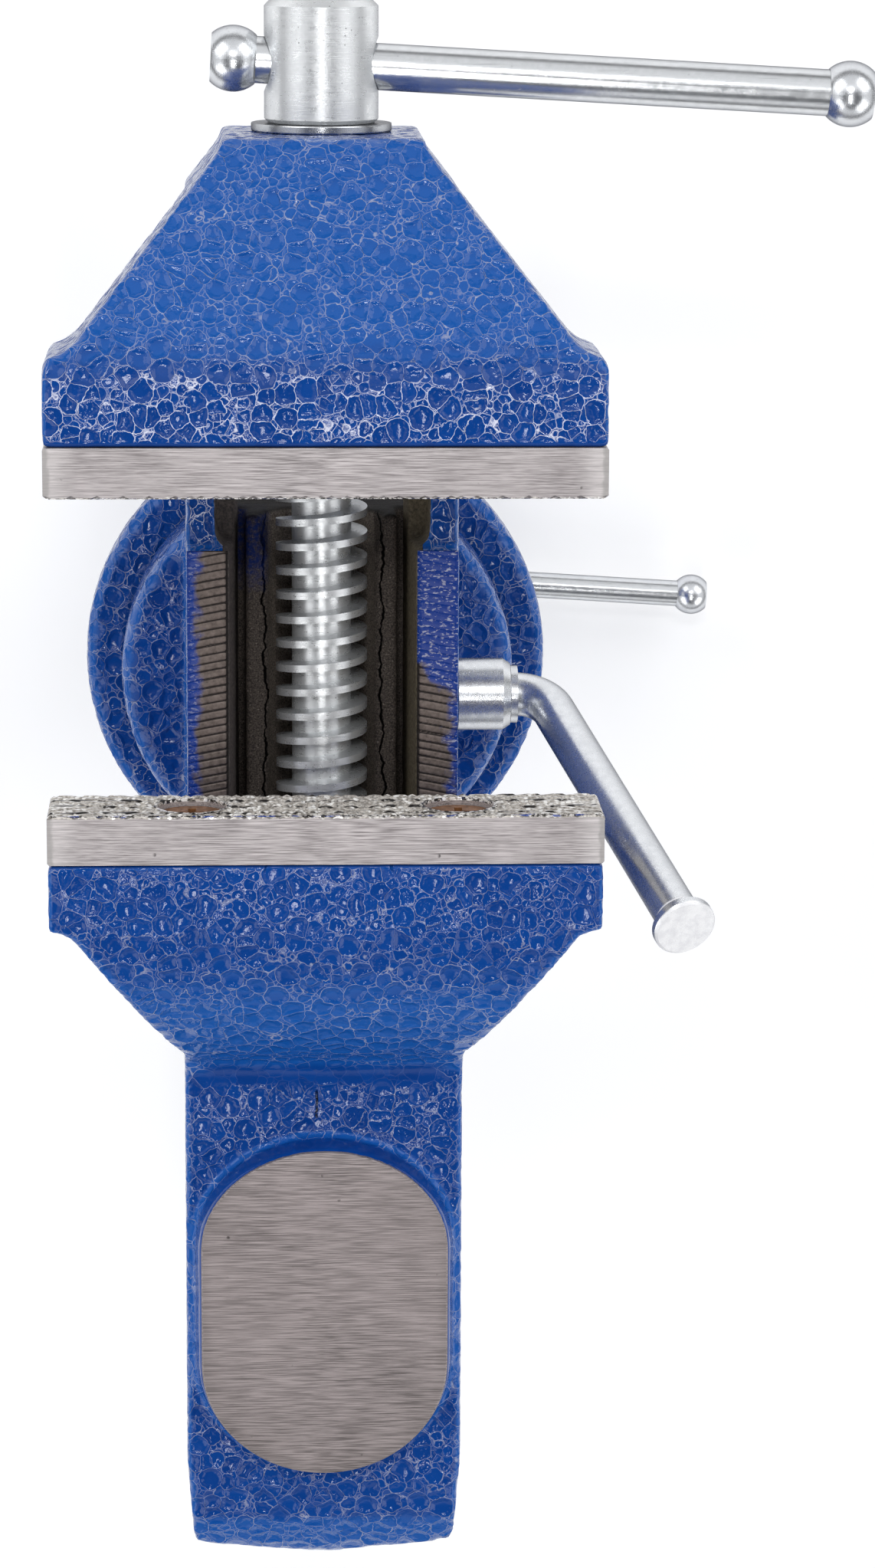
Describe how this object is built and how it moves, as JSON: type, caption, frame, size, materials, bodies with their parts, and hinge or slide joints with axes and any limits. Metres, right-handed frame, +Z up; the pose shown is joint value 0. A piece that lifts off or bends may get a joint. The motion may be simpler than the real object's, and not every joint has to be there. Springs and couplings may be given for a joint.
{
  "type": "clamp-on swivel vise",
  "caption": "Clamp-on swivel bench vise with serrated jaw plates, forked sliding jaw, screw and tommy bar, rear anvil, swivel lock lever and a screw clamp for the table edge.",
  "frame": {"origin": "on the swivel axis, on the underside of the round base where it sits on the table", "axes": "+Z up along the swivel axis, -Y towards the tommy bar (front), +Y towards the anvil (rear), the lock lever is on -X"},
  "size_m": [0.1063, 0.2062, 0.1609],
  "materials": {
    "blue_hammered_enamel": "glossy blue hammered enamel over cast iron, machined faces bare",
    "ground_steel": "surface ground, fine lines along the jaw",
    "brown_steel": "dull brown, slightly rusty screw heads",
    "zinc_plated_steel": "bright zinc plate",
    "chrome_plated_steel": "bright plate with faint turning lines",
    "bright_steel": "turned steel, oiled",
    "cast_nut_iron": "machined cast iron",
    "black_oxide_steel": "black oxide"
  },
  "bodies": {
    "base": {"clamp_frame": "blue_hammered_enamel", "swivel_post": "bright_steel"},
    "body": {"fixed_jaw_body": "blue_hammered_enamel", "fixed_jaw_plate": "ground_steel", "fixed_plate_screws": "brown_steel", "lead_nut": "cast_nut_iron", "nut_set_screw": "black_oxide_steel"},
    "moving_jaw": {"moving_jaw_body": "blue_hammered_enamel", "moving_jaw_plate": "ground_steel", "moving_plate_screws": "brown_steel", "thrust_washer": "zinc_plated_steel"},
    "screw": {"lead_screw": "zinc_plated_steel", "retaining_washer": "zinc_plated_steel", "retaining_pin": "black_oxide_steel"},
    "main_handle": {"handle_bar": "chrome_plated_steel", "handle_knob_left": "chrome_plated_steel", "handle_knob_right": "chrome_plated_steel"},
    "lock": {"lock_screw": "chrome_plated_steel", "lock_lever": "chrome_plated_steel"},
    "clamp_foot": {"clamp_pad": "zinc_plated_steel"},
    "clamp_spindle": {"clamp_screw": "zinc_plated_steel"},
    "clamp_handle": {"clamp_bar": "chrome_plated_steel", "clamp_bar_knob_left": "chrome_plated_steel", "clamp_bar_knob_right": "chrome_plated_steel"}
  },
  "joints": [
    {"name": "swivel", "type": "hinge", "parent": "base", "child": "body", "pos_m": [0, 0, 0.02], "axis": [0, 0, 1], "continuous": true},
    {"name": "jaw_slide", "type": "slide", "parent": "body", "child": "moving_jaw", "axis": [0, 1, 0], "range_m": [-0.026, 0.0398]},
    {"name": "screw_turn", "type": "hinge", "parent": "moving_jaw", "child": "screw", "pos_m": [0, -0.07, 0.0495], "axis": [0, 1, 0], "range_deg": [-2940, 4490]},
    {"name": "handle_slide", "type": "slide", "parent": "screw", "child": "main_handle", "axis": [0.9985, -0.055, 0], "range_m": [-0.0006, 0.0572]},
    {"name": "lock_lever_turn", "type": "hinge", "parent": "body", "child": "lock", "pos_m": [-0.02, 0, 0.0355], "axis": [1, 0, 0], "range_deg": [-50, 0]},
    {"name": "clamp_travel", "type": "slide", "parent": "base", "child": "clamp_foot", "axis": [0, 0, 1], "range_m": [-0.0205, 0.0046]},
    {"name": "clamp_turn", "type": "hinge", "parent": "clamp_foot", "child": "clamp_spindle", "pos_m": [0, 0, -0.05], "axis": [0, 0, 1], "range_deg": [-3700, 840]},
    {"name": "clamp_handle_slide", "type": "slide", "parent": "clamp_spindle", "child": "clamp_handle", "axis": [0.998, -0.0628, 0], "range_m": [-0.0003, 0.0512]}
  ],
  "couplings": [
    {"joint": "screw_turn", "follows": "jaw_slide", "rad_per_m": 1963.5},
    {"joint": "clamp_turn", "follows": "clamp_travel", "rad_per_m": 3141.6}
  ]
}
